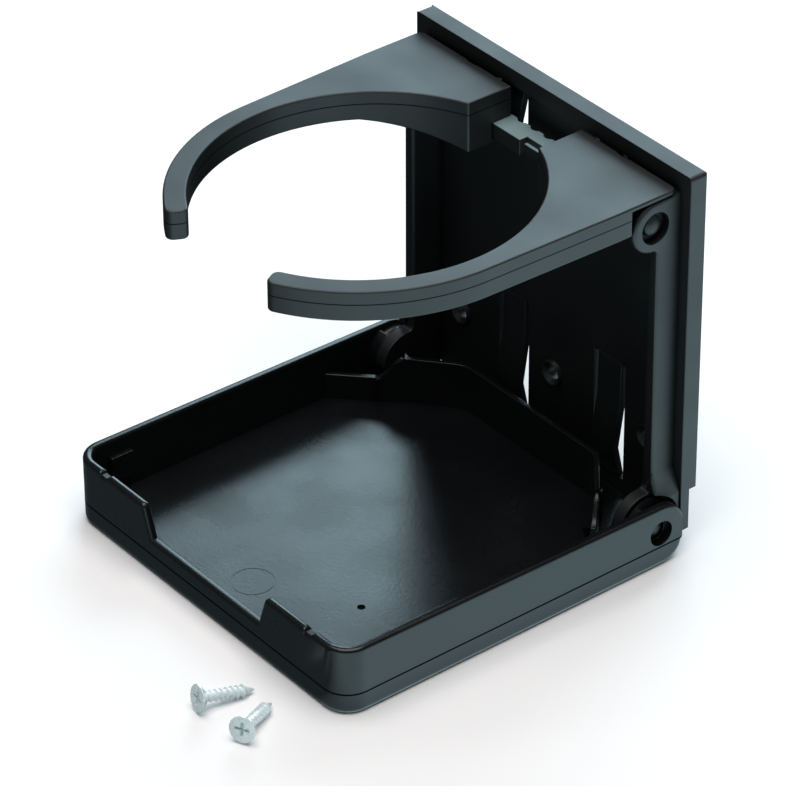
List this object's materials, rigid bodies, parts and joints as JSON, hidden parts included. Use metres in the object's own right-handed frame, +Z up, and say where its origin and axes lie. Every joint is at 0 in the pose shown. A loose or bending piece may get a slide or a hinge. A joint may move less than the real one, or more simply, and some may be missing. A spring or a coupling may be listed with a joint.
{
  "type": "folding drink holder",
  "caption": "Wall-mounted fold-flat drink holder: flanged back plate, hinged tray below, hinged ring arms above that slide to fit the cup.",
  "frame": {"origin": "centre of the face that lies against the wall", "axes": "+X to the right seen from the front, -Y away from the wall, +Z up"},
  "size_m": [0.114, 0.1439, 0.1118],
  "materials": {
    "base_plastic": "satin moulded black",
    "tray_plastic": "half-gloss pebbled black",
    "bar_plastic": "satin moulded black",
    "arm_plastic": "satin moulded black",
    "zinc_screws": "bright zinc plate"
  },
  "bodies": {
    "base": {"mounting_base": "base_plastic", "mounting_screws": "zinc_screws"},
    "tray": {"tray": "tray_plastic"},
    "bar": {"slide_bar": "bar_plastic"},
    "left_arm": {"left_arm": "arm_plastic"},
    "right_arm": {"right_arm": "arm_plastic"},
    "lower_left_spring": {"lower_left_spring": "base_plastic"},
    "lower_right_spring": {"lower_right_spring": "base_plastic"},
    "upper_left_spring": {"upper_left_spring": "base_plastic"},
    "upper_right_spring": {"upper_right_spring": "base_plastic"}
  },
  "joints": [
    {"name": "tray_fold", "type": "hinge", "parent": "base", "child": "tray", "pos_m": [0, -0.0142, -0.0541], "axis": [-1, 0, 0], "range_deg": [0, 50], "stiffness_Nm_per_rad": 0.5},
    {"name": "arm_fold", "type": "hinge", "parent": "base", "child": "bar", "pos_m": [0, -0.0133, 0.0345], "axis": [-1, 0, 0], "range_deg": [-79, 0], "stiffness_Nm_per_rad": 0.5},
    {"name": "left_arm_slide", "type": "slide", "parent": "bar", "child": "left_arm", "axis": [1, 0, 0], "range_m": [0, 0.013]},
    {"name": "right_arm_slide", "type": "slide", "parent": "bar", "child": "right_arm", "axis": [-1, 0, 0], "range_m": [0, 0.013]},
    {"name": "lower_left_spring_flex", "type": "hinge", "parent": "base", "child": "lower_left_spring", "pos_m": [0, -0.0013, -0.0225], "axis": [1, 0, 0], "range_deg": [0, 2.4], "stiffness_Nm_per_rad": 0.05},
    {"name": "lower_right_spring_flex", "type": "hinge", "parent": "base", "child": "lower_right_spring", "pos_m": [0, -0.0013, -0.0225], "axis": [1, 0, 0], "range_deg": [0, 2.4], "stiffness_Nm_per_rad": 0.05},
    {"name": "upper_left_spring_flex", "type": "hinge", "parent": "base", "child": "upper_left_spring", "pos_m": [0, -0.0013, 0.0235], "axis": [-1, 0, 0], "range_deg": [0, 3], "stiffness_Nm_per_rad": 0.05},
    {"name": "upper_right_spring_flex", "type": "hinge", "parent": "base", "child": "upper_right_spring", "pos_m": [0, -0.0013, 0.0235], "axis": [-1, 0, 0], "range_deg": [0, 3], "stiffness_Nm_per_rad": 0.05}
  ]
}
